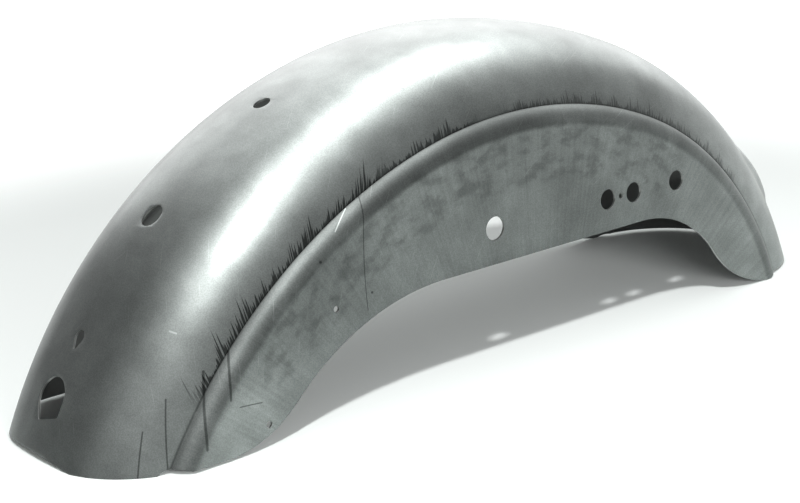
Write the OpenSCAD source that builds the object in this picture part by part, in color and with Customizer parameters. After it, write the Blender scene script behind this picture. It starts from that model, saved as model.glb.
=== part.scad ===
// Rear fender of a cruiser motorcycle: one deep-drawn sheet of bare steel.
//
// It lies crown up on its own edges, as it would be set down on a floor.
// X runs along the fender, with the front end at +X. Y is across it, Z is up.
// The origin is on the floor, midway along the length and across the width.
//
// The skin is built as an outer body less the same body set in by the sheet.
// Both bodies are a crown, swept round two tangent arcs, joined to a wider
// side body swept round three. The edge, the rims and the holes are then cut.

/* [Sheet] */
// Thickness of the steel sheet
sheet_t = 1.6; // [1.0:0.1:2.5]

/* [Crown] */
// Height of the crown over the floor
crown_h = 222; // [205:1:240]
// Radius of the crown along its rear stretch
crown_r_rear = 364; // [350:1:380]
// Radius of the crown along its front stretch
crown_r_front = 302; // [285:1:320]
// Angle over the horizontal where the rear radius meets the front one
crown_split = 66; // [58:1:74]
// Half the width of the crown where its sides would stand upright
crown_half_w = 87.7; // [84:0.1:90]
// Radius of the flat top, across the fender
top_r = 206; // [180:1:260]
// Radius of the shoulders, across the fender
shoulder_r = 68.5; // [60:0.5:76]

/* [Side panels] */
// Half the overall width, to the face of a side panel
panel_half_w = 92.5; // [90:0.1:98]
// Depth from the crown's top line to where the flat panel starts
ledge_drop = 62; // [56:1:68]
// Radius of the rounded ledge that steps out to the panel
ledge_r = 13; // [11:0.5:16]
// Radius of the ledge along its rear stretch
ledge_r_rear = 327; // [315:1:340]
// Radius of the ledge along its front stretch
ledge_r_front = 227; // [215:1:236]

/* [Lower edge] */
// Height of the long straight edge over the floor
edge_z = 74.5; // [62:0.5:80]
// Where the straight edge ends at the rear
edge_x_rear = -66; // [-80:1:-40]
// Where the straight edge ends at the front
edge_x_front = 118; // [100:1:125]
// Radius of the arch behind the straight edge
arch_r_rear = 180; // [160:1:195]
// Radius of the arch before the straight edge
arch_r_front = 91; // [80:1:105]
// Radius of the lobes below the arches
lobe_r = 84; // [70:1:92]
// Depth of the flat trimmed on each lobe, at its lowest
lobe_trim = 0.4; // [0.2:0.1:1]
// Height of the rear lobes and of the ledge's rear foot over the floor
foot_lift = 2; // [1:0.5:4]
// How much higher the panel's rear foot is than its lobe
relief_rise = 1.7; // [0.5:0.1:3]
// Radius of the relief at that foot
relief_r = 15; // [10:1:25]
// Distance of the relief in from the rim
relief_in = 4; // [2:0.5:8]
// Rise of the rear rim over the floor, at its highest
rim_rise = 5; // [2:0.5:6]
// Radius of that rise, across the fender
rim_arch_r = 250; // [200:5:320]
// How far the rise stands off the middle line, for the rim is cut a little askew
rim_side = 15; // [0:1:20]
// Height of the front rim over the floor
front_gap = 2.5; // [1:0.5:6]
// Radius by which the front lobes run up to that rim
front_foot_r = 30; // [20:1:40]

/* [Strut holes] */
// Height of the strut holes over the floor
strut_z = 97; // [90:0.5:102]
// Height of the rear strut hole over the floor
strut_rear_z = 99; // [90:0.5:104]
// Where the rear strut hole is
strut_rear_x = -21; // [-40:0.5:0]
// Radius of the rear strut hole
strut_rear_r = 8; // [6:0.1:10]
// Where the pair of strut holes is centred
strut_pair_x = 97.4; // [85:0.1:105]
// Distance between the holes of the pair
strut_pair_pitch = 25.4; // [22:0.1:30]
// Where the front strut hole is
strut_front_x = 153.5; // [145:0.5:160]
// Radius of the pair and of the front strut hole
strut_r = 7.15; // [5:0.05:8]
// Radius of the small locating hole between the pair
locator_r = 1.9; // [1:0.1:3]

/* [Small side holes] */
// Radius of the small side holes
clip_r = 2.1; // [1:0.1:3]
// Where the upper small hole is
clip_x = -156; // [-165:0.5:-140]
// Height of the upper small hole
clip_z = 76; // [72:0.5:87]
// Distance of the lower small hole from the rear lobe's lowest point
wire_in = 35; // [28:0.5:42]
// Height of the lower small hole
wire_z = 16; // [12:0.5:22]

/* [Crown holes] */
// Angle of the upper crown hole over the horizontal
upper_a = 113.5; // [108:0.1:120]
// Radius of the upper crown hole
upper_r = 6; // [4:0.1:8]
// Angle of the middle crown hole
middle_a = 130.3; // [125:0.1:136]
// Radius of the middle crown hole
middle_r = 8.2; // [5:0.1:10]
// Angle of the lamp-wire slot
slot_a = 144.5; // [141:0.1:146]
// Width of the lamp-wire slot, at its wide end
slot_w = 9.4; // [7:0.1:11]
// Length of the lamp-wire slot
slot_l = 13; // [12:0.1:16]
// Angle of the lamp opening
lamp_a = 150.7; // [149:0.1:151]
// How far the lamp opening stands off the middle line
lamp_side = 3.5; // [0:0.5:5]
// Turn of the lamp opening about its own centre
lamp_turn = 16; // [0:1:20]
// Radius of the round top of the lamp opening
lamp_r = 13.7; // [11:0.1:15]
// Depth of its flat bottom under the centre of the round top
lamp_drop = 13.5; // [12:0.1:15]
// Width of its flat bottom
lamp_flat_w = 21; // [16:0.5:22]
// Radius of its bottom corners
lamp_corner_r = 1.5; // [1:0.1:3]

/* [Front pad] */
// Angle of the raised pad over the horizontal
pad_a = 32.5; // [29:0.5:36]
// Height of the pad over the crown
pad_h = 4.2; // [3:0.1:6]
// Radius of the pad along the fender
pad_r = 90; // [80:1:120]
// Width of the pad across the fender
pad_w = 124; // [100:1:130]
// Angle from the pad's middle to its cut-off lower end
pad_end = 18; // [14:0.5:20]

/* [Hidden] */
$fn = 144;
steel = [0.62, 0.64, 0.63];

// Lowest radius of the swept bodies, well under the floor
core_r = 40;
// How far round the sweeps run, past the floor at both ends
rear_end_a = 172;
front_end_a = 4;
// Turn from the crown's split to the ledge's: a 3-4-5 corner, so that its sine and cosine are exact
ledge_turn = atan2(3, 4);
ledge_split = crown_split + ledge_turn;
// Reach of the cutters past the skin
over = 20;

// Arcs that would only touch are set this far past it, so that they cross cleanly
lap = 0.02;
// Shoulder centre: how far out from the top arc's centre, and how far across
shoulder_y = crown_half_w - shoulder_r;
shoulder_out = sqrt(pow(top_r - shoulder_r + lap / 4, 2) - pow(shoulder_y, 2));
shoulder_a = atan2(shoulder_y, shoulder_out);

// Half lengths at the two rims fix the arc centres, so that the origin is midway
crown_z_rear = crown_h - crown_r_rear;
shift = [cos(crown_split), sin(crown_split)] * (crown_r_rear - crown_r_front);
crown_z_front = crown_z_rear + shift[1];
rim_mid_z = rim_rise - rim_arch_r + sqrt(pow(rim_arch_r, 2) - pow(rim_side, 2));
reach_rear = sqrt(pow(crown_r_rear, 2) - pow(crown_z_rear - rim_mid_z, 2));
reach_front = shift[0] + sqrt(pow(crown_r_front, 2) - pow(crown_z_front - front_gap, 2));
crown_x = (reach_rear - reach_front) / 2;
half_len = (reach_rear + reach_front) / 2;

// Centres in the XZ plane
c_rear = [crown_x, crown_z_rear];
c_front = c_rear + shift;
ledge_r_mid = crown_r_rear - ledge_drop;
l_rear = c_rear + (ledge_r_mid - ledge_r_rear) * [cos(ledge_split), sin(ledge_split)];
l_front = c_rear + (ledge_r_mid - ledge_r_front) * [cos(crown_split), sin(crown_split)];
c_pad = c_front + (crown_r_front + pad_h - pad_r) * [cos(pad_a), sin(pad_a)];

// Centre of each arch and of the lobe beyond it, the lobe trimmed flat at this height
arch_rear = [edge_x_rear, edge_z - arch_r_rear];
arch_front = [edge_x_front, edge_z - arch_r_front];
function lobe_centre(arch, arch_r, dir, height) =
    let (apart = arch_r + lobe_r - lap, z = height + lobe_r - lobe_trim)
        [arch[0] + dir * sqrt(pow(apart, 2) - pow(z - arch[1], 2)), z];
lobe_rear = lobe_centre(arch_rear, arch_r_rear, -1, foot_lift);
lobe_front = lobe_centre(arch_front, arch_r_front, 1, 0);
wire_x = lobe_rear[0] + wire_in;

// Where the rear ledge meets the floor, at mid-slope
ledge_mid_r = ledge_r_rear + ledge_r;
relief_x = l_rear[0] - sqrt(pow(ledge_mid_r, 2) - pow(l_rear[1], 2));
// Where the front ledge meets the floor
foot_x = l_front[0] + sqrt(pow(ledge_r_front + ledge_r, 2) - pow(l_front[1], 2));

// Turns the XZ plane's polar frame round c, from angle a on: radius along X, angle round Z
module polar(c, a) {
    translate([c[0], 0, c[1]])
        rotate([90, 0, 0])
            rotate([0, 0, a])
                children();
}

// Sweeps a profile (radius, across) rearwards by angle a, its arc's centre moved out along X
module rearward(out, a) {
    translate([out, 0, 0])
        rotate_extrude(angle = a)
            children();
}

// The same forwards
module forward(out, a) {
    mirror([0, 1, 0])
        rearward(out, a)
            children();
}

// Cross-section of the crown, set in by g, with its top line at radius r
module crown_profile(r, g, low = core_r) {
    apex = r - top_r;
    mid = apex + shoulder_out;
    reach = 2 * top_r;
    intersection() {
        translate([apex, 0]) circle(r = top_r - g);
        polygon([
            [apex, 0],
            [apex + reach * cos(shoulder_a), reach * sin(shoulder_a)],
            [apex + reach * cos(shoulder_a), -reach * sin(shoulder_a)],
        ]);
    }
    for (s = [-1, 1])
        translate([mid, s * shoulder_y]) circle(r = shoulder_r - g);
    translate([low, g - crown_half_w])
        square([mid - low, 2 * (crown_half_w - g)]);
}

// Cross-section of the side body: full width, with rounded upper corners
module side_profile(r, g) {
    translate([core_r, g - panel_half_w])
        square([r - core_r, 2 * (panel_half_w - g)]);
    for (s = [-1, 1])
        translate([r, s * (panel_half_w - ledge_r)]) circle(r = ledge_r - g);
    translate([core_r, ledge_r - panel_half_w])
        square([r + ledge_r - g - core_r, 2 * (panel_half_w - ledge_r)]);
}

// Cross-section of the front pad: the crown's own, but only so wide
module pad_profile(g) {
    low = 1;
    intersection() {
        crown_profile(pad_r, g, low);
        translate([low, g - pad_w / 2]) square([pad_r, pad_w - 2 * g]);
    }
}

// Solid body whose surface is the skin, set in by g
module body(g) {
    polar(c_rear, crown_split) {
        rearward(0, rear_end_a - crown_split) crown_profile(crown_r_rear, g);
        forward(crown_r_rear - crown_r_front, crown_split - front_end_a)
            crown_profile(crown_r_front, g);
        forward(ledge_r_mid - ledge_r_front, crown_split - front_end_a)
            side_profile(ledge_r_front, g);
        // the middle stretch is cut off square where the rear one starts
        intersection() {
            rearward(0, ledge_turn + 1) side_profile(ledge_r_mid, g);
            rotate([0, 0, ledge_turn])
                translate([0, -crown_h, 0])
                    cube(2 * [crown_r_rear, crown_h, panel_half_w], center = true);
        }
        rotate([0, 0, ledge_turn])
            rearward(ledge_r_mid - ledge_r_rear, rear_end_a - ledge_split)
                side_profile(ledge_r_rear, g);
    }
}

// The room between an arch and its lobe, seen from the side
module arch_foot(arch, arch_r, lobe) {
    meet = arch + (lobe - arch) * (arch_r - lap / 2) / (arch_r + lobe_r - lap);
    difference() {
        polygon([[lobe[0], lobe[1] - lobe_r / 2], meet, [meet[0], -over], [lobe[0], -over]]);
        translate(lobe) circle(r = lobe_r);
    }
}

// The open room under the lower edge, seen from the side
module edge_outline() {
    translate([edge_x_rear, -over])
        square([edge_x_front - edge_x_rear, edge_z + over]);
    translate(arch_rear) circle(r = arch_r_rear);
    translate(arch_front) circle(r = arch_r_front);
    arch_foot(arch_rear, arch_r_rear, lobe_rear);
    arch_foot(arch_front, arch_r_front, lobe_front);
}

// Extrudes an XZ outline right across the fender
module across() {
    rotate([90, 0, 0])
        linear_extrude(height = 4 * panel_half_w, center = true)
            children();
}

// Everything under the lower edge and the rims
module edge_cut() {
    across() edge_outline();
    across() translate([relief_x + relief_in, foot_lift + relief_rise - relief_r])
        circle(r = relief_r);
    across() translate([relief_x + relief_in, -over])
        square([edge_x_rear - relief_x - relief_in, over + foot_lift]);
    across() translate([foot_x, front_gap + lap - front_foot_r]) circle(r = front_foot_r);
    translate([-half_len, rim_side, rim_rise - rim_arch_r])
        rotate([0, 90, 0])
            cylinder(r = rim_arch_r, h = half_len, center = true);
    across() translate([foot_x, -over]) square([half_len, over + front_gap]);
    across() translate([-2 * half_len, -2 * crown_h]) square([4 * half_len, 2 * crown_h]);
}

// A hole right through both side panels
module side_hole(x, z, r) {
    translate([x, 0, z])
        rotate([90, 0, 0])
            cylinder(r = r, h = 4 * panel_half_w, center = true);
}

module side_holes() {
    side_hole(strut_rear_x, strut_rear_z, strut_rear_r);
    for (s = [-1, 1])
        side_hole(strut_pair_x + s * strut_pair_pitch / 2, strut_z, strut_r);
    side_hole(strut_pair_x, strut_z, locator_r);
    side_hole(strut_front_x, strut_z, strut_r);
    side_hole(clip_x, clip_z, clip_r);
    side_hole(wire_x, wire_z, clip_r);
}

// Puts a cutter on the crown's rear stretch, square to it; its X points down the slope
module on_crown(a) {
    translate([c_rear[0], 0, c_rear[1]])
        rotate([0, 90 - a, 0])
            rotate([0, 0, 180])
                translate([0, 0, crown_r_rear - over])
                    children();
}

// Four-sided web between two circles on the X axis line, its corners just inside them
module web(p, p_r, q, q_r) {
    d = q - p;
    lean = atan2(d[1], d[0]) + acos((p_r - q_r) / norm(d));
    n = [cos(lean), sin(lean)];
    polygon([
        p, p + (p_r - lap) * n, q + (q_r - lap) * n, q,
    ]);
}

// Slot outline: a wide round end above and a narrow one below
module slot_outline() {
    low_r = slot_w / 5;
    top = [slot_w / 2 - slot_l / 2, 0];
    low = [slot_l / 2 - low_r, 0];
    translate(top) circle(r = slot_w / 2);
    translate(low) circle(r = low_r);
    web(top, slot_w / 2, low, low_r);
    mirror([0, 1]) web(top, slot_w / 2, low, low_r);
}

// Lamp opening: a round top, leaning sides and a flat bottom with round corners
module lamp_outline() {
    corner = [lamp_drop - lamp_corner_r, lamp_flat_w / 2 - lamp_corner_r];
    circle(r = lamp_r);
    for (s = [0, 1])
        mirror([0, s]) {
            translate(corner) circle(r = lamp_corner_r);
            web([0, 0], lamp_r, corner, lamp_corner_r);
        }
    translate([0, -corner[1]]) square([lamp_drop, 2 * corner[1]]);
    translate([0, -lamp_flat_w / 2 + lap]) square([corner[0], lamp_flat_w - 2 * lap]);
}

module crown_holes() {
    on_crown(upper_a) cylinder(r = upper_r, h = 2 * over);
    on_crown(middle_a) cylinder(r = middle_r, h = 2 * over);
    on_crown(slot_a) linear_extrude(height = 2 * over) slot_outline();
    on_crown(lamp_a)
        translate([0, -lamp_side, 0])
            rotate([0, 0, lamp_turn])
                linear_extrude(height = 2 * over) lamp_outline();
}

// The raised pad near the front end, set in by g
module pad(g, start) {
    polar(c_pad, start) rearward(0, 3 * pad_end) pad_profile(g);
}

// The drawn skin, before it is trimmed and pierced
module skin() {
    difference() {
        union() {
            body(0);
            pad(0, pad_a - pad_end);
        }
        body(sheet_t);
        pad(sheet_t, pad_a - pad_end + atan(sheet_t / pad_r));
    }
}

module fender_shell() {
    color(steel)
        difference() {
            skin();
            edge_cut();
            side_holes();
            crown_holes();
        }
}

fender_shell();
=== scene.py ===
# %% [markdown]
# Rear fender of a cruiser motorcycle, as it leaves the press: one deep-drawn
# sheet of bare steel, greasy and scratched, before any primer.
# The CAD part gives its form and its size. This lesson draws the same sheet
# again with a fine, even mesh, because gloss on a mesh of long thin triangles
# shows every one of them, and then it gives the steel its finish.

# %% Open the frame
import math

import bpy
import numpy as np
from mathutils import Matrix, Vector


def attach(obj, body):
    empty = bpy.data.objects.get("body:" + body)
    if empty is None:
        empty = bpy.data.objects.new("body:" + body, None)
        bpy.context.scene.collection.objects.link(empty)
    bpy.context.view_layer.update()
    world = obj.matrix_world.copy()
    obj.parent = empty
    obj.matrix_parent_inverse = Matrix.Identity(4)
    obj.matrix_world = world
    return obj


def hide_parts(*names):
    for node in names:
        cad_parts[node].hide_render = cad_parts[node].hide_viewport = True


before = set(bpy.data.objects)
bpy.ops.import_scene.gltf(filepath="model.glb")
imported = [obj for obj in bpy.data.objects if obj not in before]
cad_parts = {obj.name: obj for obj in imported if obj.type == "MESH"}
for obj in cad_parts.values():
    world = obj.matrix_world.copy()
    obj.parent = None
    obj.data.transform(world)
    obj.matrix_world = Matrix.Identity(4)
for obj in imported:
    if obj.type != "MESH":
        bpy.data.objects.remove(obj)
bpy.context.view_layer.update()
bpy.ops.object.select_all(action="DESELECT")

# %% [markdown]
# All sizes are in metres and are those of the CAD part. The crown, which is
# the domed top, runs round two arcs that touch: a long one behind and a
# tighter one in front. The step in the side, the ledge, has three arcs.
# Every arc is kept as a centre in the side view and a radius.

# %% Sizes of the fender
SHEET = 0.0016
CROWN_H = 0.222
CROWN_REAR, CROWN_FRONT = 0.364, 0.302
SPLIT = math.radians(66)
CROWN_HALF = 0.0877
TOP_R, SHOULDER_R = 0.206, 0.0685
PANEL_HALF = 0.0925
LEDGE_DROP, LEDGE_R = 0.062, 0.013
LEDGE_REAR, LEDGE_FRONT = 0.327, 0.227
LEDGE_SPLIT = SPLIT + math.atan2(3, 4)
EDGE_Z = 0.0745
EDGE_REAR, EDGE_FRONT = -0.066, 0.118
ARCH_REAR, ARCH_FRONT, LOBE_R, LOBE_TRIM = 0.180, 0.091, 0.084, 0.0004
FOOT_LIFT, RELIEF_RISE, RELIEF_R, RELIEF_IN = 0.002, 0.0017, 0.015, 0.004
RIM_RISE, RIM_ARCH_R, RIM_SIDE = 0.005, 0.250, 0.015
FRONT_GAP, FRONT_FOOT_R = 0.0025, 0.030


def along(angle):
    """Unit vector in the side view, at an angle over the horizontal."""
    return np.array([math.cos(angle), math.sin(angle)])


crown_z = CROWN_H - CROWN_REAR
shift = (CROWN_REAR - CROWN_FRONT) * along(SPLIT)
rim_mid_z = RIM_RISE - RIM_ARCH_R + math.sqrt(RIM_ARCH_R ** 2 - RIM_SIDE ** 2)
reach_rear = math.sqrt(CROWN_REAR ** 2 - (crown_z - rim_mid_z) ** 2)
front_drop = crown_z + shift[1] - FRONT_GAP
reach_front = shift[0] + math.sqrt(CROWN_FRONT ** 2 - front_drop ** 2)
C_REAR = np.array([(reach_rear - reach_front) / 2, crown_z])
C_FRONT = C_REAR + shift
LEDGE_MID = CROWN_REAR - LEDGE_DROP
L_REAR = C_REAR + (LEDGE_MID - LEDGE_REAR) * along(LEDGE_SPLIT)
L_FRONT = C_REAR + (LEDGE_MID - LEDGE_FRONT) * along(SPLIT)
SHOULDER_Y = CROWN_HALF - SHOULDER_R
SHOULDER_OUT = math.sqrt((TOP_R - SHOULDER_R) ** 2 - SHOULDER_Y ** 2)
SHOULDER_A = math.atan2(SHOULDER_Y, SHOULDER_OUT)
half_length = (reach_rear + reach_front) / 2
print("length of the fender:", round(2 * half_length, 4),
      "centre of the rear arc:", C_REAR.round(4))

# %% [markdown]
# The camera stands where the photographer stood. It was found from the
# outline and the holes of the fender, so its place is in the fender's own
# frame. It looks down a little and is tilted by a few degrees.

# %% Camera
CAMERA_AT = (-0.8707, -1.0397, 0.4459)
YAW, DOWN, TILT = 0.8895, 0.2753, -0.0565

bpy.ops.object.camera_add(location=CAMERA_AT)
camera = bpy.context.object
look = Vector((math.cos(YAW) * math.cos(DOWN), math.sin(YAW) * math.cos(DOWN), -math.sin(DOWN)))
level = Vector((math.sin(YAW), -math.cos(YAW), 0))
upright = level.cross(look)
right = math.cos(TILT) * level + math.sin(TILT) * upright
up = math.cos(TILT) * upright - math.sin(TILT) * level
turn = Matrix((right, up, -look)).transposed()
camera.matrix_world = Matrix.Translation(CAMERA_AT) @ turn.to_4x4()
camera.data.lens = 90
camera.data.sensor_width = 36
camera.data.clip_end = 50
bpy.context.scene.camera = camera
print("camera distance to the fender:", round(Vector(CAMERA_AT).length, 3))

# %% [markdown]
# The sheet starts as a flat blank, as it does at the press. A grid has
# rows that run along the fender and columns that cross it. It is then drawn
# over the form: each point goes to its place on the crown, the ledge or the
# side panel. The rows lie closer near the crease, where the sheet bends most.

# %% Blank
COLUMNS_REAR, COLUMNS_FRONT = 190, 92
CROWN_ROWS, LEDGE_ROWS, PANEL_ROWS = 34, 8, 12
HALF_ROWS = CROWN_ROWS + LEDGE_ROWS + PANEL_ROWS
columns = COLUMNS_REAR + COLUMNS_FRONT

bpy.ops.mesh.primitive_grid_add(
    x_subdivisions=columns, y_subdivisions=2 * HALF_ROWS, size=1, location=(0, 0, 0))
blank = bpy.context.object
blank.name = "fender_sheet"
print("blank:", len(blank.data.vertices), "points,", len(blank.data.polygons), "faces")

# %% [markdown]
# The crown's cross-section is a flat arc on top that runs into a tighter one
# at each shoulder. The function gives how far a point has fallen from the top
# line, and how far it is from the middle.

# %% Cross-section of the crown
def crown_section(lean):
    """Fall from the top line, and distance from the middle, where the sheet leans so far."""
    lean = np.asarray(lean, float)
    flat = lean < SHOULDER_A
    fall = np.where(flat, TOP_R * (1 - np.cos(lean)),
                    TOP_R - SHOULDER_OUT - SHOULDER_R * np.cos(lean))
    out = np.where(flat, TOP_R * np.sin(lean), SHOULDER_Y + SHOULDER_R * np.sin(lean))
    return fall, out


print("crown falls", crown_section(math.radians(75))[0].round(4), "to where it leans 75 degrees")

# %% [markdown]
# Near the front end the crown carries a low pad, pressed a few millimetres
# proud, for the bracket that bolts on there. It is a flatter dome of its own,
# cut off square at its lower end and at its sides.

# %% Front pad
PAD_A, PAD_H, PAD_R, PAD_W = math.radians(32.5), 0.0042, 0.090, 0.124
PAD_END = math.radians(18)
PAD_SOFT = 0.0016
C_PAD = C_FRONT + (CROWN_FRONT + PAD_H - PAD_R) * along(PAD_A)


def smooth_step(x, low, high):
    """Nought below low, one above high, and an easy curve between them."""
    t = np.clip((x - low) / (high - low), 0, 1)
    return t * t * (3 - 2 * t)


def pad_rise(angle, fall, out):
    """How far the pad lifts a point of the front crown."""
    ray = np.stack([np.cos(angle), np.sin(angle)], -1)
    to_pad = C_FRONT - C_PAD
    b = ray @ to_pad
    inside = b * b - to_pad @ to_pad + (PAD_R - fall) ** 2
    rise = -b + np.sqrt(np.maximum(inside, 0)) - (CROWN_FRONT - fall)
    place = C_FRONT + ray * (CROWN_FRONT - fall)[..., None] - C_PAD
    round_pad = np.arctan2(place[..., 1], place[..., 0])
    end = (round_pad - (PAD_A - PAD_END)) * PAD_R
    keep = smooth_step(end, -PAD_SOFT, PAD_SOFT)
    keep *= 1 - smooth_step(out, PAD_W / 2 - PAD_SOFT, PAD_W / 2 + PAD_SOFT)
    return np.where(inside > 0, np.maximum(rise, 0), 0) * keep


# %% [markdown]
# The ledge is a rounding of 13 mm that follows a line of three arcs. Its
# centre line's distance tells on which side of it a point lies. Where the
# crown dives into that rounding is the crease, found by halving the range
# of the lean again and again.

# %% Crease
def ledge_line(place):
    """Distance outside the ledge line, and the outward direction there."""
    from_rear = place - C_REAR
    angle = np.arctan2(from_rear[..., 1], from_rear[..., 0])
    angle = np.where(angle < -math.pi / 2, angle + 2 * math.pi, angle)
    centre = np.where((angle > LEDGE_SPLIT)[..., None], L_REAR,
                      np.where((angle > SPLIT)[..., None], C_REAR, L_FRONT))
    radius = np.where(angle > LEDGE_SPLIT, LEDGE_REAR,
                      np.where(angle > SPLIT, LEDGE_MID, LEDGE_FRONT))
    arm = place - centre
    length = np.linalg.norm(arm, axis=-1)
    return length - radius, arm / length[..., None]


def crown_place(angle, rear, fall):
    """Point of the crown in the side view."""
    ray = np.stack([np.cos(angle), np.sin(angle)], -1)
    centre = np.where(rear[..., None], C_REAR, C_FRONT)
    return centre + ray * (np.where(rear, CROWN_REAR, CROWN_FRONT) - fall)[..., None]


PAST_FLOOR = 0.05
LEDGE_FLAT = PANEL_HALF - LEDGE_R
rear_end = math.pi - math.asin((-crown_z - PAST_FLOOR) / CROWN_REAR)
front_end = math.asin((-C_FRONT[1] - PAST_FLOOR) / CROWN_FRONT)
rear_angles = np.linspace(rear_end, SPLIT, COLUMNS_REAR + 1)
front_angles = np.linspace(SPLIT, front_end, COLUMNS_FRONT + 1)[1:]
angles = np.concatenate([rear_angles, front_angles])
is_rear = np.arange(columns + 1) <= COLUMNS_REAR

HALVINGS = 40
low_lean = np.full(columns + 1, math.radians(50))
high_lean = np.full(columns + 1, math.radians(90))
for _ in range(HALVINGS):
    mid_lean = (low_lean + high_lean) / 2
    fall, out = crown_section(mid_lean)
    above, _out = ledge_line(crown_place(angles, is_rear, fall))
    past_flat = np.maximum(out - LEDGE_FLAT, 0)
    clear = (above > 0) & (above ** 2 + past_flat ** 2 > LEDGE_R ** 2)
    low_lean = np.where(clear, mid_lean, low_lean)
    high_lean = np.where(clear, high_lean, mid_lean)
crease_lean = low_lean
print("the crown leans at the crease, degrees:",
      np.degrees(crease_lean.min()).round(1), "to", np.degrees(crease_lean.max()).round(1))

# %% [markdown]
# The lower edge is straight in the middle and curls down in an arch at each
# end, to the lobes that stand on the floor. One function gives its height.
# Beyond the lobes the sheet runs on past the floor, to be trimmed later.

# %% Lower edge
ARCH_C_REAR = np.array([EDGE_REAR, EDGE_Z - ARCH_REAR])
ARCH_C_FRONT = np.array([EDGE_FRONT, EDGE_Z - ARCH_FRONT])


def lobe_centre(arch, arch_r, direction, height):
    """Centre of a lobe that touches its arch and stands at this height."""
    z = height + LOBE_R - LOBE_TRIM
    off = math.sqrt((arch_r + LOBE_R) ** 2 - (z - arch[1]) ** 2)
    return np.array([arch[0] + direction * off, z])


LOBE_C_REAR = lobe_centre(ARCH_C_REAR, ARCH_REAR, -1, FOOT_LIFT)
LOBE_C_FRONT = lobe_centre(ARCH_C_FRONT, ARCH_FRONT, 1, 0)


def edge_height(x):
    """Height of the lower edge over the floor."""
    height = np.full_like(x, EDGE_Z)
    for arch, radius, lobe, side in (
            (ARCH_C_REAR, ARCH_REAR, LOBE_C_REAR, -1),
            (ARCH_C_FRONT, ARCH_FRONT, LOBE_C_FRONT, 1)):
        touch = arch + (lobe - arch) * radius / (radius + LOBE_R)
        off = (x - arch[0]) * side
        curl = arch[1] + np.sqrt(np.maximum(radius ** 2 - (x - arch[0]) ** 2, 0))
        height = np.where(off > 0, curl, height)
        bowl = lobe[1] - np.sqrt(np.maximum(LOBE_R ** 2 - (x - lobe[0]) ** 2, 0))
        height = np.where(off > (touch[0] - arch[0]) * side, bowl, height)
        height = np.where(off > (lobe[0] - arch[0]) * side, -PAST_FLOOR, height)
    return height


print("lobes stand at x =", LOBE_C_REAR[0].round(4), "and", LOBE_C_FRONT[0].round(4))

# %% [markdown]
# Now the blank is drawn over the form. A point of the grid knows its column,
# which is how far along the fender it lies, and its row, counted from the
# middle of the crown. Crown rows share out the lean between the top and the
# crease, ledge rows go round the rounding, and panel rows run down to the
# edge. A UV map keeps what the finish needs later: the length along the
# fender and the distance from the crease, both in metres.

# %% Draw the blank over the form
def spaced(count, squeeze):
    """Steps from 0 to 1 that lie closer towards 1."""
    t = np.linspace(0, 1, count + 1)
    return 1 - (1 - t) ** squeeze


CROWD_TO_CREASE = 1.35
crown_t = spaced(CROWN_ROWS, CROWD_TO_CREASE)[:, None]
lean = crown_t * crease_lean
fall, out = crown_section(lean)
column_angle = np.broadcast_to(angles, lean.shape)
column_rear = np.broadcast_to(is_rear, lean.shape)
lift = np.where(column_rear, 0, pad_rise(column_angle, fall, out))
crown_xz = crown_place(column_angle, column_rear, fall - lift)
crown_y = out

crease_xz = crown_place(angles, is_rear, crown_section(crease_lean)[0])
above, ray = ledge_line(crease_xz)
ledge_xz = crease_xz - above[:, None] * ray
tilt = np.arcsin(np.clip(above / LEDGE_R, -1, 1))
level_part = np.maximum(LEDGE_FLAT - crown_section(crease_lean)[1], 0)
ledge_t = np.linspace(0, 1, LEDGE_ROWS + 1)[1:, None]
gone = ledge_t * (level_part + LEDGE_R * tilt)
round_tilt = tilt - np.maximum(gone - level_part, 0) / LEDGE_R
ledge_rows_xz = ledge_xz + (LEDGE_R * np.sin(round_tilt))[..., None] * ray
ledge_rows_y = np.where(gone < level_part, LEDGE_FLAT - level_part + gone,
                        LEDGE_FLAT + LEDGE_R * np.cos(round_tilt))

DEEPEST_PANEL = 0.16
near_end = np.zeros(columns + 1)
far_end = np.full(columns + 1, DEEPEST_PANEL)
for _ in range(HALVINGS):
    middle = (near_end + far_end) / 2
    place = ledge_xz - middle[:, None] * ray
    over_edge = place[:, 1] > np.maximum(edge_height(place[:, 0]), -PAST_FLOOR)
    near_end = np.where(over_edge, middle, near_end)
    far_end = np.where(over_edge, far_end, middle)
panel_t = np.linspace(0, 1, PANEL_ROWS + 1)[1:, None]
panel_xz = ledge_xz - (panel_t * near_end)[..., None] * ray
panel_y = np.full(panel_xz.shape[:2], PANEL_HALF)

half_xz = np.concatenate([crown_xz, ledge_rows_xz, panel_xz])
half_y = np.concatenate([crown_y, ledge_rows_y, panel_y])
step = np.sqrt(np.sum(np.diff(half_xz, axis=0) ** 2, -1) + np.diff(half_y, axis=0) ** 2)
girth = np.concatenate([np.zeros((1, columns + 1)), np.cumsum(step, 0)])
from_crease = girth[CROWN_ROWS] - girth
run_step = np.sqrt(np.sum(np.diff(crease_xz, axis=0) ** 2, -1))
run = np.concatenate([[0], np.cumsum(run_step)])

blank_points = np.empty((2 * HALF_ROWS + 1, columns + 1, 3))
blank_points[HALF_ROWS:, :, 0] = half_xz[..., 0]
blank_points[HALF_ROWS:, :, 1] = -half_y
blank_points[HALF_ROWS:, :, 2] = half_xz[..., 1]
blank_points[:HALF_ROWS + 1] = blank_points[HALF_ROWS:][::-1] * (1, -1, 1)
crease_map = np.concatenate([from_crease[:0:-1], from_crease])

corners = np.empty(len(blank.data.vertices) * 3)
blank.data.vertices.foreach_get("co", corners)
flat = corners.reshape(-1, 3)
column = np.rint((flat[:, 0] + 0.5) * columns).astype(int)
row = np.rint((0.5 - flat[:, 1]) * 2 * HALF_ROWS).astype(int)
blank.data.vertices.foreach_set("co", blank_points[row, column].ravel())

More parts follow.
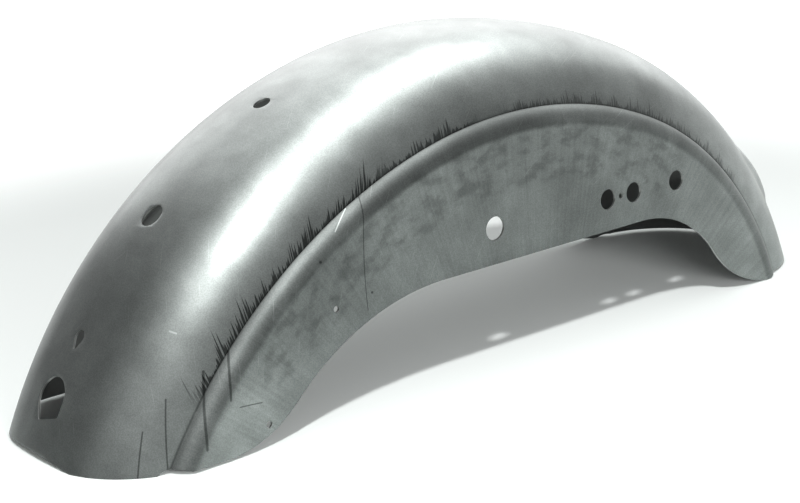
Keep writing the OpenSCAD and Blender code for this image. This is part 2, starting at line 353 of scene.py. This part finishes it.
form_map = blank.data.uv_layers[0]
form_map.name = "form"
of_corner = np.empty(len(blank.data.loops), int)
blank.data.loops.foreach_get("vertex_index", of_corner)
form_values = np.stack([run[column], crease_map[row, column]], -1)[of_corner]
form_map.data.foreach_set("uv", form_values.ravel())
print("the blank is drawn over", round(float(run[-1]), 3), "m of crease")

# %% [markdown]
# The drawn sheet gets its thickness on the inside, so that the outside stays
# on the form. Its normals are set first, while it is still an open sheet. The
# four finishes get their slots now, because Solidify hands the inner faces the
# second slot and the rim faces the third.

# %% Thickness
def only(thing):
    """Makes one object the only one selected."""
    bpy.ops.object.select_all(action="DESELECT")
    thing.select_set(True)
    bpy.context.view_layer.objects.active = thing


def applied(thing, kind, **settings):
    """Adds a modifier, sets it and applies it."""
    only(thing)
    modifier = thing.modifiers.new(kind.lower(), kind)
    for name, value in settings.items():
        setattr(modifier, name, value)
    bpy.ops.object.modifier_apply(modifier=modifier.name)


only(blank)
bpy.ops.object.mode_set(mode="EDIT")
bpy.ops.mesh.select_all(action="SELECT")
bpy.ops.mesh.normals_make_consistent(inside=False)
bpy.ops.object.mode_set(mode="OBJECT")
middle_face = min(blank.data.polygons, key=lambda f: abs(f.center.x) + abs(f.center.y))
print("the top faces up:", middle_face.normal.z > 0)
if middle_face.normal.z < 0:
    blank.data.flip_normals()
blank.data.materials.clear()
outer_steel, inner_steel, cut_steel, border_painted_shade = (
    bpy.data.materials.new(name)
    for name in ("drawn_steel", "oily_inside", "cut_edge", "painted_shade_border"))
for finish in (outer_steel, inner_steel, cut_steel, border_painted_shade):
    finish.use_nodes = True
    blank.data.materials.append(finish)
applied(blank, "SOLIDIFY", thickness=SHEET, offset=-1, use_even_offset=True,
        material_offset=1, material_offset_rim=2)
print("sheet with its thickness:", len(blank.data.polygons), "faces")

# %% [markdown]
# What the press tool trims and pierces is cut away with plain solids: boxes
# under the floor, under the front rim and under the rear lobes, cylinders
# that ease the rear and front feet into the rims, one that lets the rear rim
# rise in its middle, and a punch for each hole in the side panels.

# %% Trim and pierce
CUT_SIDES = 96


def box_between(name, low, high):
    """A box from one corner to the opposite one."""
    middle = [(a + b) / 2 for a, b in zip(low, high)]
    bpy.ops.mesh.primitive_cube_add(size=1, location=middle)
    block = bpy.context.object
    block.name = name
    block.scale = [b - a for a, b in zip(low, high)]
    bpy.ops.object.transform_apply(location=True, rotation=True, scale=True)
    return block


def across(name, x, z, radius):
    """A punch right through both panels."""
    bpy.ops.mesh.primitive_cylinder_add(
        vertices=CUT_SIDES, radius=radius, depth=4 * PANEL_HALF, location=(x, 0, z),
        rotation=(math.pi / 2, 0, 0))
    punch = bpy.context.object
    punch.name = name
    bpy.ops.object.transform_apply(location=True, rotation=True, scale=True)
    return punch


def cut_by(cutters):
    """Takes the cutters out of the sheet and deletes them."""
    for cutter in cutters:
        cutter.data.materials.append(cut_steel)
        applied(blank, "BOOLEAN", operation="DIFFERENCE", solver="MANIFOLD",
                material_mode="TRANSFER", object=cutter)
        bpy.data.objects.remove(cutter)


relief_x = L_REAR[0] - math.sqrt((LEDGE_REAR + LEDGE_R) ** 2 - L_REAR[1] ** 2)
foot_x = L_FRONT[0] + math.sqrt((LEDGE_FRONT + LEDGE_R) ** 2 - L_FRONT[1] ** 2)
bpy.ops.mesh.primitive_cylinder_add(
    vertices=4 * CUT_SIDES, radius=RIM_ARCH_R, depth=half_length,
    location=(-half_length, RIM_SIDE, RIM_RISE - RIM_ARCH_R), rotation=(0, math.pi / 2, 0))
rim_arch = bpy.context.object
rim_arch.name = "rim_arch"
bpy.ops.object.transform_apply(location=True, rotation=True, scale=True)
CLEAR_X, CLEAR_Y, CLEAR_FLOOR, CLEAR_RIM = 0.6, 0.3, 0.2, 0.1
cut_by([
    box_between("floor_trim", (-CLEAR_X, -CLEAR_Y, -CLEAR_FLOOR), (CLEAR_X, CLEAR_Y, 0)),
    box_between("front_trim", (foot_x, -CLEAR_Y, -CLEAR_RIM), (CLEAR_X, CLEAR_Y, FRONT_GAP)),
    box_between("lobe_trim", (relief_x + RELIEF_IN, -CLEAR_Y, -CLEAR_RIM),
                (EDGE_REAR, CLEAR_Y, FOOT_LIFT)),
    across("rear_relief", relief_x + RELIEF_IN, FOOT_LIFT + RELIEF_RISE - RELIEF_R, RELIEF_R),
    across("front_relief", foot_x, FRONT_GAP - FRONT_FOOT_R, FRONT_FOOT_R),
    rim_arch,
])

# Each hole has its x, its height and its radius.
STRUT_Z, STRUT_R, STRUT_PAIR_X, STRUT_PITCH = 0.097, 0.00715, 0.0974, 0.0254
WIRE_IN = 0.035
SIDE_HOLES = {
    "strut_rear": (-0.021, 0.099, 0.008),
    "strut_pair_back": (STRUT_PAIR_X - STRUT_PITCH / 2, STRUT_Z, STRUT_R),
    "strut_pair_front": (STRUT_PAIR_X + STRUT_PITCH / 2, STRUT_Z, STRUT_R),
    "locator": (STRUT_PAIR_X, STRUT_Z, 0.0019),
    "strut_front": (0.1535, STRUT_Z, STRUT_R),
    "clip": (-0.156, 0.076, 0.0021),
    "wire": (LOBE_C_REAR[0] + WIRE_IN, 0.016, 0.0021),
}
cut_by([across(name, *hole) for name, hole in SIDE_HOLES.items()])
print("after the side holes:", len(blank.data.polygons), "faces")

# %% [markdown]
# Four more holes stand square on the crown, on its middle line: two round
# bolt holes, a slot that is wider above, and the lamp opening with its flat
# bottom, which is cut a little askew. Each outline is what a string round a
# few circles would give, so one function serves them all.

# %% Pierce the crown
PUNCH_REACH = 0.02


def crown_punch(name, angle, circles, askew=0, off_middle=0):
    """A punch whose outline is a string round these circles (down, across, radius)."""
    bpy.ops.mesh.primitive_circle_add(vertices=CUT_SIDES, fill_type="NGON", location=(0, 0, 0))
    punch = bpy.context.object
    punch.name = name
    for n, vertex in enumerate(punch.data.vertices):
        way = 2 * math.pi * (n + 0.5) / CUT_SIDES
        down, side, radius = max(
            circles, key=lambda c: c[0] * math.cos(way) + c[1] * math.sin(way) + c[2])
        vertex.co = (down + radius * math.cos(way), side + radius * math.sin(way), -PUNCH_REACH)
    bpy.ops.object.mode_set(mode="EDIT")
    bpy.ops.mesh.select_all(action="SELECT")
    bpy.ops.mesh.extrude_region_move(TRANSFORM_OT_translate={"value": (0, 0, 2 * PUNCH_REACH)})
    bpy.ops.mesh.select_all(action="SELECT")
    bpy.ops.mesh.normals_make_consistent(inside=False)
    bpy.ops.object.mode_set(mode="OBJECT")
    outward = Vector((math.cos(angle), 0, math.sin(angle)))
    downhill = Vector((-math.sin(angle), 0, math.cos(angle)))
    facing = Matrix((downhill, outward.cross(downhill), outward)).transposed()
    facing @= Matrix.Rotation(askew, 3, "Z")
    centre = Vector((C_REAR[0], off_middle, C_REAR[1])) + CROWN_REAR * outward
    punch.matrix_world = Matrix.Translation(centre) @ facing.to_4x4()
    only(punch)
    bpy.ops.object.transform_apply(location=True, rotation=True, scale=True)
    return punch


UPPER_A, UPPER_R = math.radians(113.5), 0.006
MIDDLE_A, MIDDLE_R = math.radians(130.3), 0.0082
SLOT_A, SLOT_W, SLOT_L = math.radians(144.5), 0.0094, 0.013
LAMP_A, LAMP_R, LAMP_DROP = math.radians(150.7), 0.0137, 0.0135
LAMP_FLAT, LAMP_CORNER = 0.021, 0.0015
LAMP_TURN, LAMP_SIDE = math.radians(16), 0.0035
slot_low = SLOT_W / 5
lamp_down, lamp_side = LAMP_DROP - LAMP_CORNER, LAMP_FLAT / 2 - LAMP_CORNER
cut_by([
    crown_punch("bolt_hole_upper", UPPER_A, [(0, 0, UPPER_R)]),
    crown_punch("bolt_hole_middle", MIDDLE_A, [(0, 0, MIDDLE_R)]),
    crown_punch("slot", SLOT_A, [
        ((SLOT_W - SLOT_L) / 2, 0, SLOT_W / 2), (SLOT_L / 2 - slot_low, 0, slot_low)]),
    crown_punch("lamp_opening", LAMP_A, [
        (0, 0, LAMP_R), (lamp_down, lamp_side, LAMP_CORNER), (lamp_down, -lamp_side, LAMP_CORNER)],
        askew=LAMP_TURN, off_middle=LAMP_SIDE),
])
print("after the crown holes:", len(blank.data.polygons), "faces")

# %% [markdown]
# Sheet that has been trimmed and pierced has a fine corner along every hole and edge, and there it
# is painted as a dark line: painted shade, where the corner turns away from the light. A small
# bevel makes the corner, and the bevel's faces get the last slot, the dark border.

# %% Bevelled corners, painted dark
BEVEL = 0.00028
CORNER_ANGLE, SMOOTH_ANGLE = math.radians(50), math.radians(32)
fender = blank
print("slots:", [m.name for m in fender.data.materials])
applied(fender, "BEVEL", width=BEVEL, segments=2, limit_method="ANGLE",
        angle_limit=CORNER_ANGLE, material=3)
only(fender)
bpy.ops.object.shade_smooth_by_angle(angle=SMOOTH_ANGLE)
print("finished sheet:", len(fender.data.polygons), "faces,",
      sum(len(f.vertices) - 2 for f in fender.data.polygons), "triangles")
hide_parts("fender_shell")
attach(fender, "root")

# %% [markdown]
# Node trees are written with one helper, which adds a node and joins it up.
# The next one tells rays that can see the background, which are those of the
# camera, of gloss and through glass, from the rays that carry light.

# %% Node helpers
def node(tree, kind, inputs=None, **settings):
    """Adds a node, sets its settings, and joins or sets its inputs."""
    made = tree.nodes.new(kind)
    for name, value in settings.items():
        setattr(made, name, value)
    for key, value in (inputs or {}).items():
        if isinstance(value, bpy.types.NodeSocket):
            tree.links.new(value, made.inputs[key])
        else:
            made.inputs[key].default_value = value
    return made


def math_of(tree, operation, *values):
    """What a Math node makes of these values."""
    return node(tree, "ShaderNodeMath", dict(enumerate(values)), operation=operation).outputs[0]


def between(tree, value, low, high, start=0.0, end=1.0):
    """Turns low..high of a value smoothly into start..end."""
    return node(tree, "ShaderNodeMapRange", {0: value, 1: low, 2: high, 3: start, 4: end},
                interpolation_type="SMOOTHSTEP").outputs[0]


def seen_rays(tree):
    """One for rays of the camera, of gloss and through glass, else nought."""
    path = node(tree, "ShaderNodeLightPath").outputs
    gloss = math_of(tree, "MAXIMUM", path["Is Camera Ray"], path["Is Glossy Ray"])
    return math_of(tree, "MAXIMUM", gloss, path["Is Transmission Ray"])


print("node helpers are ready")

# %% [markdown]
# The fender stands on white paper. Near it the paper is plain and matt, so it
# keeps the shadow and the spots of light that fall through the holes. Farther
# out it turns white for the rays that see it, which gives the photograph's
# white ground without any more light on the steel.

# %% Floor
scene = bpy.context.scene
scene.view_settings.view_transform = "Standard"
bpy.ops.mesh.primitive_plane_add(size=14, location=(0, 0, 0))
floor = bpy.context.object
floor.name = "floor"

PAPER_LIT, PAPER_FAR, PAPER_LIFT = 0.5, 1.1, 0.01
paper = bpy.data.materials.new("white_paper")
paper.use_nodes = True
floor.data.materials.append(paper)
tree = paper.node_tree
tree.nodes.clear()
matt = node(tree, "ShaderNodeBsdfDiffuse", {"Color": (0.84, 0.875, 0.86, 1)})
place = node(tree, "ShaderNodeTexCoord").outputs["Object"]
away = node(tree, "ShaderNodeVectorMath", {0: place}, operation="LENGTH").outputs["Value"]
far = between(tree, away, PAPER_LIT, PAPER_FAR, PAPER_LIFT, 1.0)
glow = math_of(tree, "MULTIPLY", seen_rays(tree), far)
lift = node(tree, "ShaderNodeEmission", {"Color": (1, 1, 1, 1), "Strength": glow})
both = node(tree, "ShaderNodeAddShader", {0: matt.outputs[0], 1: lift.outputs[0]})
node(tree, "ShaderNodeOutputMaterial", {"Surface": both.outputs[0]})
print("paper floor glows white beyond", PAPER_FAR, "m")

# %% [markdown]
# The world is a plain white studio. It is white to the rays that see it, and
# half as strong as a light, so that the shadow under the arch stays soft.

# %% World
ROOM_LIGHT = 0.5
world = bpy.data.worlds.new("studio")
scene.world = world
world.use_nodes = True
tree = world.node_tree
tree.nodes.clear()
room = node(tree, "ShaderNodeMapRange", {0: seen_rays(tree), 1: 0.0, 2: 1.0, 3: ROOM_LIGHT, 4: 1.0})
sky = node(tree, "ShaderNodeBackground", {"Color": (1, 1, 1, 1), "Strength": room.outputs[0]})
node(tree, "ShaderNodeOutputWorld", {"Surface": sky.outputs[0]})
print("room light:", ROOM_LIGHT)

# %% [markdown]
# Bare steel shows what stands round it, so the lamps are chosen for their
# shapes. A small key throws the sharp shadow and the spots of light. A long
# strip overhead draws the bright band that runs down the near shoulder, and a
# softbox behind lights the far half of the crown. These two are for gloss
# alone. A low fill, which gloss doesn't see, opens the shadow under the arch.

# %% Lamps
def lamp(name, place, aim, size, power, spin=0):
    """An oblong area lamp that faces its aim, turned about its own axis by spin."""
    bpy.ops.object.light_add(type="AREA", location=place)
    made = bpy.context.object
    made.name = name
    made.data.shape = "RECTANGLE"
    made.data.size, made.data.size_y = size
    made.data.energy = power
    facing = (Vector(aim) - Vector(place)).to_track_quat("-Z", "Y").to_matrix()
    made.rotation_euler = (facing @ Matrix.Rotation(spin, 3, "Z")).to_euler()
    return made


STRIP_TURN = math.radians(29)
lamp("key", (-0.97, -1.16, 2.05), (0, 0, 0), (0.16, 0.16), 48)
strip = lamp("strip", (0.1, -0.3, 2.0), (0.1, -0.299, 0), (3.0, 0.85), 104, STRIP_TURN)
strip.visible_diffuse = False
softbox = lamp("softbox", (0.9, 1.1, 1.4), (0, 0, 0.1), (3.6, 2.4), 76)
softbox.visible_diffuse = False
fill = lamp("fill", (-0.5, -1.55, 0.5), (0, 0, 0), (0.8, 0.4), 20)
fill.visible_glossy = False

# %% [markdown]
# In a white room polished metal would be white all over. Photographers put up
# dark cards, called flags, to give it shade. Two grey cards do that here: one
# behind the rear end, and one in front for the band above the crease.

# %% Flags
def flag(name, place, size, tone):
    """A grey card that only gloss sees, so that the steel has something dark to show."""
    place = Vector(place)
    bpy.ops.mesh.primitive_plane_add(
        size=1, location=place, rotation=(-place).to_track_quat("Z", "Y").to_euler())
    card = bpy.context.object
    card.name = name
    card.scale = (size[0], size[1], 1)
    for ray in ("camera", "diffuse", "transmission", "shadow", "volume_scatter"):
        setattr(card, "visible_" + ray, False)
    grey = bpy.data.materials.new(name + "_grey")
    grey.use_nodes = True
    grey.node_tree.nodes.clear()
    glow = node(grey.node_tree, "ShaderNodeEmission", {"Color": (1, 1, 1, 1), "Strength": tone})
    node(grey.node_tree, "ShaderNodeOutputMaterial", {"Surface": glow.outputs[0]})
    card.data.materials.append(grey)


flag("flag_back", (-1.15, 1.0, 0.58), (2.2, 2.2), 0.4)
flag("flag_front", (0.38, -1.42, 1.03), (2.4, 1.1), 0.6)
print("two flags stand behind and in front")

# %% [markdown]
# The fender is bare drawn steel, and it still has the press shop on it: a
# cloudy film of oil, a fine sandy grain, and lines drawn down the panel where
# it slid over the die. The film could be a painted picture, but noise of
# three sizes does the same and can be tuned. Each noise gives a number round
# one, and the numbers multiply the steel's tone.

# %% Film and grain
def noise_of(tree, place, scale, detail):
    """Noise at a place, so many waves to the metre."""
    return node(tree, "ShaderNodeTexNoise",
                {"Vector": place, "Scale": scale, "Detail": detail}).outputs["Fac"]


def drawn_out(tree, place, per_u, per_v):
    """The form's coordinates, multiplied, so that a noise is drawn out one way."""
    return node(tree, "ShaderNodeVectorMath", {0: place, 1: (per_u, per_v, 1)},
                operation="MULTIPLY").outputs[0]


def product(tree, *values):
    """All the values multiplied."""
    total = values[0]
    for value in values[1:]:
        total = math_of(tree, "MULTIPLY", total, value)
    return total


tree = outer_steel.node_tree
spot = node(tree, "ShaderNodeTexCoord").outputs["Object"]
form = node(tree, "ShaderNodeUVMap", uv_map="form").outputs[0]
u, v = node(tree, "ShaderNodeSeparateXYZ", {0: form}).outputs[:2]
spot_x, _spot_y, spot_z = node(tree, "ShaderNodeSeparateXYZ", {0: spot}).outputs
LOW, HIGH = 0.3, 0.7
clouds = noise_of(tree, spot, 17, 4)
film = between(tree, clouds, LOW, HIGH, 0.84, 1.16)
patches = between(tree, noise_of(tree, spot, 60, 5), LOW, HIGH, 0.93, 1.07)
grain = between(tree, noise_of(tree, spot, 1300, 1), LOW, HIGH, 0.88, 1.12)
panel_side = between(tree, v, -0.012, -0.002, 1.0, 0.2)
draw_noise = noise_of(tree, drawn_out(tree, form, 420, 14), 1, 3)
draw_lines = math_of(tree, "MULTIPLY_ADD", math_of(tree, "SUBTRACT", draw_noise, 0.5),
                     product(tree, panel_side, 0.42), 1.0)
print("film, patches, grain and draw lines multiply the tone")

# %% [markdown]
# Where the punch closed on the sheet, just above the crease, it smeared dark
# oil upwards in short strokes, thick at the crease and pointed at the top. A
# stroke is a stretch of the crease where a fine noise along it is high, and it
# ends where its own height runs out. The form's own coordinates, u along the
# crease and v away from it, make that simple. A slant lets the strokes lean.

# %% Strokes above the crease
def stretch(tree, value, start, end, soft):
    """One between start and end of a value, and nought outside, with soft ends."""
    return math_of(tree, "MULTIPLY", between(tree, value, start - soft, start),
                   between(tree, value, end, end + soft, 1.0, 0.0))


above_crease = math_of(tree, "GREATER_THAN", v, 0.0)


def strokes(per_metre, reach, start, end, slant=0.0):
    """Dark wedges that rise from the crease, per_metre of them, to about reach."""
    leaning = math_of(tree, "MULTIPLY_ADD", v, slant, u)
    line = node(tree, "ShaderNodeCombineXYZ", {0: leaning}).outputs[0]
    fine = noise_of(tree, line, per_metre, 1)
    cluster = noise_of(tree, line, per_metre / 8, 1)
    top = between(tree, cluster, 0.35, HIGH, 0.25 * reach, 1.5 * reach)
    climbed = math_of(tree, "DIVIDE", v, top)
    needed = between(tree, climbed, 0.0, 1.0, 0.42, 0.68)
    dark = between(tree, math_of(tree, "SUBTRACT", fine, needed), -0.03, 0.05)
    return product(tree, dark, between(tree, climbed, 0.75, 1.1, 1.0, 0.0),
                   above_crease, stretch(tree, u, start, end, 0.02))


rear_strokes = strokes(640, 0.0145, 0.125, 0.29, -0.7)
middle_strokes = strokes(420, 0.012, 0.31, 0.37, -0.3)
front_strokes = strokes(900, 0.011, 0.42, 0.65)
smear = product(tree, between(tree, v, 0.0, 0.012, 1.0, 0.0), above_crease,
                stretch(tree, u, 0.13, 0.66, 0.03))
# Painted shade and dirt together: a fine dark line along the concave crease.
crease_dirt_and_shade = between(tree, math_of(tree, "ABSOLUTE", v), 0.0003, 0.0011, 1.0, 0.0)
print("strokes: 640 to the metre at the rear, 900 at the front")

# %% [markdown]
# Below the crease the ledge is rougher and painted darker than the rest, most of all in its middle
# stretch: painted shade that dims the lamps' reflection on the ledge, with dirt as well in the
# middle stretch. Under it lies a band of smudgy grime. Toward both ends the tone is raised, which
# is painted light in place of the brighter reflections there. These are soft bands in v, broken up
# by noise, and soft ramps in the fender's own frame.

# %% Grime, painted shade on the ledge and painted light at the ends
smudges = between(tree, noise_of(tree, drawn_out(tree, form, 60, 110), 1, 5), 0.42, 0.66)
grime = product(tree, smudges, stretch(tree, v, -0.048, -0.017, 0.008),
                stretch(tree, u, 0.17, 0.56, 0.05))
# Painted shade: the ledge is darkened to dim the reflection on it, its middle stretch more, where
# it is dirty too.
ledge = stretch(tree, v, -0.014, -0.001, 0.004)
ledge_dirt_and_shade = product(tree, ledge, stretch(tree, u, 0.29, 0.42, 0.04))
# Painted light: the tone is raised toward the front end and at the foot of the rear lobe.
front_painted_light = between(tree, spot_x, 0.10, 0.27, 1.0, 1.7)
rear_foot_painted_light_mask = product(tree, between(tree, v, -0.022, -0.012, 1.0, 0.0),
                       between(tree, spot_z, 0.03, 0.085, 1.0, 0.0),
                       between(tree, spot_x, -0.15, -0.05, 1.0, 0.0))
rear_painted_light = math_of(tree, "MULTIPLY_ADD", rear_foot_painted_light_mask, 0.75, 1.0)
print("grime from 17 to 48 mm below the crease")

# %% [markdown]
# A few marks can be set one by one. Each is a straight line between two points
# in the form's coordinates, and a few nodes work out the distance to it, which
# gives its width. Finer ones lie all over the sheet: a noise drawn out sixty
# times one way, of which only the peaks are kept.

# %% Scratches
def mark(start, end, width):
    """One on a straight mark from start to end, in the form's metres, else nought."""
    run = (end[0] - start[0], end[1] - start[1])
    square = run[0] ** 2 + run[1] ** 2
    from_start = node(tree, "ShaderNodeVectorMath", {0: form, 1: (*start, 0)},
                      operation="SUBTRACT").outputs[0]
    part = node(tree, "ShaderNodeVectorMath",
                {0: from_start, 1: (run[0] / square, run[1] / square, 0)},
                operation="DOT_PRODUCT").outputs["Value"]
    held = node(tree, "ShaderNodeClamp", {0: part}).outputs[0]
    nearest = node(tree, "ShaderNodeVectorMath", {0: (*run, 0), "Scale": held},
                   operation="SCALE").outputs[0]
    apart = node(tree, "ShaderNodeVectorMath", {0: from_start, 1: nearest},
                 operation="DISTANCE").outputs["Value"]
    return between(tree, apart, 0.4 * width, width, 1.0, 0.0)


def all_marks(marks):
    """One on any of the marks."""
    total = 0.0
    for start, end, width in marks:
        total = math_of(tree, "MAXIMUM", total, mark(start, end, width))
    return total


DARK_MARKS = (
    ((0.1296, 0.0071), (0.0875, -0.0176), 0.0012),
    ((0.1473, 0.0), (0.1215, -0.0173), 0.0011),
    ((0.1061, 0.0193), (0.068, 0.0013), 0.0007),
    ((0.0843, 0.0238), (0.0545, 0.0153), 0.0007),
    ((0.2775, 0.0), (0.236, -0.065), 0.0005),
    ((0.1206, -0.026), (0.1306, -0.0391), 0.0006),
    ((0.2268, -0.0134), (0.2271, -0.0137), 0.0012),
    ((0.2466, -0.0578), (0.247, -0.058), 0.0012))
BRIGHT_MARKS = (
    ((0.265, -0.0005), (0.2483, -0.0069), 0.0006),
    ((0.1417, 0.0369), (0.1422, 0.0326), 0.0009))
dark_marks, bright_marks = all_marks(DARK_MARKS), all_marks(BRIGHT_MARKS)
turned = node(tree, "ShaderNodeMapping",
              {"Vector": form, "Rotation": (0, 0, math.radians(-38))}).outputs[0]
hairlines = between(tree, noise_of(tree, drawn_out(tree, turned, 24, 1500), 1, 1), 0.70, 0.76)
print(len(DARK_MARKS), "dark marks and", len(BRIGHT_MARKS), "bright ones")

# %% [markdown]
# Now the parts come together on the steel. A mask darkens by a share of the
# tone, so that two masks that overlap never turn it black. The film makes the
# steel smoother where it lies thick, and the grain also gives a very low bump.
# The inside, the cut faces and the dark border are one plain steel each, and the dark border's
# near-black is painted shade.

# %% Steel
def darker(amount, depth):
    """Turns a mask into a factor: one where it is nought, 1 - depth where it is one."""
    return math_of(tree, "MULTIPLY_ADD", amount, -depth, 1.0)


STEEL_TONE, STEEL_ROUGH = 0.136, 0.45
# Among these factors the raised ends are painted light, and the dark crease line and the darkened
# ledge are painted shade with some dirt.
tone = product(tree, STEEL_TONE, film, patches, grain, draw_lines, front_painted_light, rear_painted_light,
               darker(rear_strokes, 0.78), darker(middle_strokes, 0.65),
               darker(front_strokes, 0.5), darker(smear, 0.22), darker(crease_dirt_and_shade, 0.4),
               darker(grime, 0.3), darker(ledge_dirt_and_shade, 0.35), darker(ledge, 0.3),
               darker(dark_marks, 0.6))
tone = math_of(tree, "MAXIMUM", tone, product(tree, bright_marks, 0.2))
tone = math_of(tree, "MULTIPLY_ADD", hairlines, 0.05, tone)
red, green = product(tree, tone, 0.95), product(tree, tone, 1.03)
colour = node(tree, "ShaderNodeCombineColor", {0: red, 1: green, 2: tone}).outputs[0]
rough = math_of(tree, "MULTIPLY_ADD", clouds, -0.10, STEEL_ROUGH)
rough = math_of(tree, "MULTIPLY_ADD", ledge, 0.16, rough)
bump = node(tree, "ShaderNodeBump", {"Height": grain, "Distance": 0.00002, "Strength": 0.4})
skin = tree.nodes["Principled BSDF"]
skin.inputs["Metallic"].default_value = 1
for socket, value in (("Base Color", colour), ("Roughness", rough), ("Normal", bump.outputs[0])):
    tree.links.new(value, skin.inputs[socket])
# The border steel's near-black tone is painted shade on the bevelled corners.
for finish, level, level_rough in (
        (inner_steel, 0.18, 0.5), (cut_steel, 0.45, 0.35), (border_painted_shade, 0.03, 0.4)):
    shader = finish.node_tree.nodes["Principled BSDF"]
    shader.inputs["Metallic"].default_value = 1
    shader.inputs["Base Color"].default_value = (level, level * 1.03, level * 1.01, 1)
    shader.inputs["Roughness"].default_value = level_rough
print("steel: tone", STEEL_TONE, "roughness about", STEEL_ROUGH, "and", len(tree.nodes), "nodes")
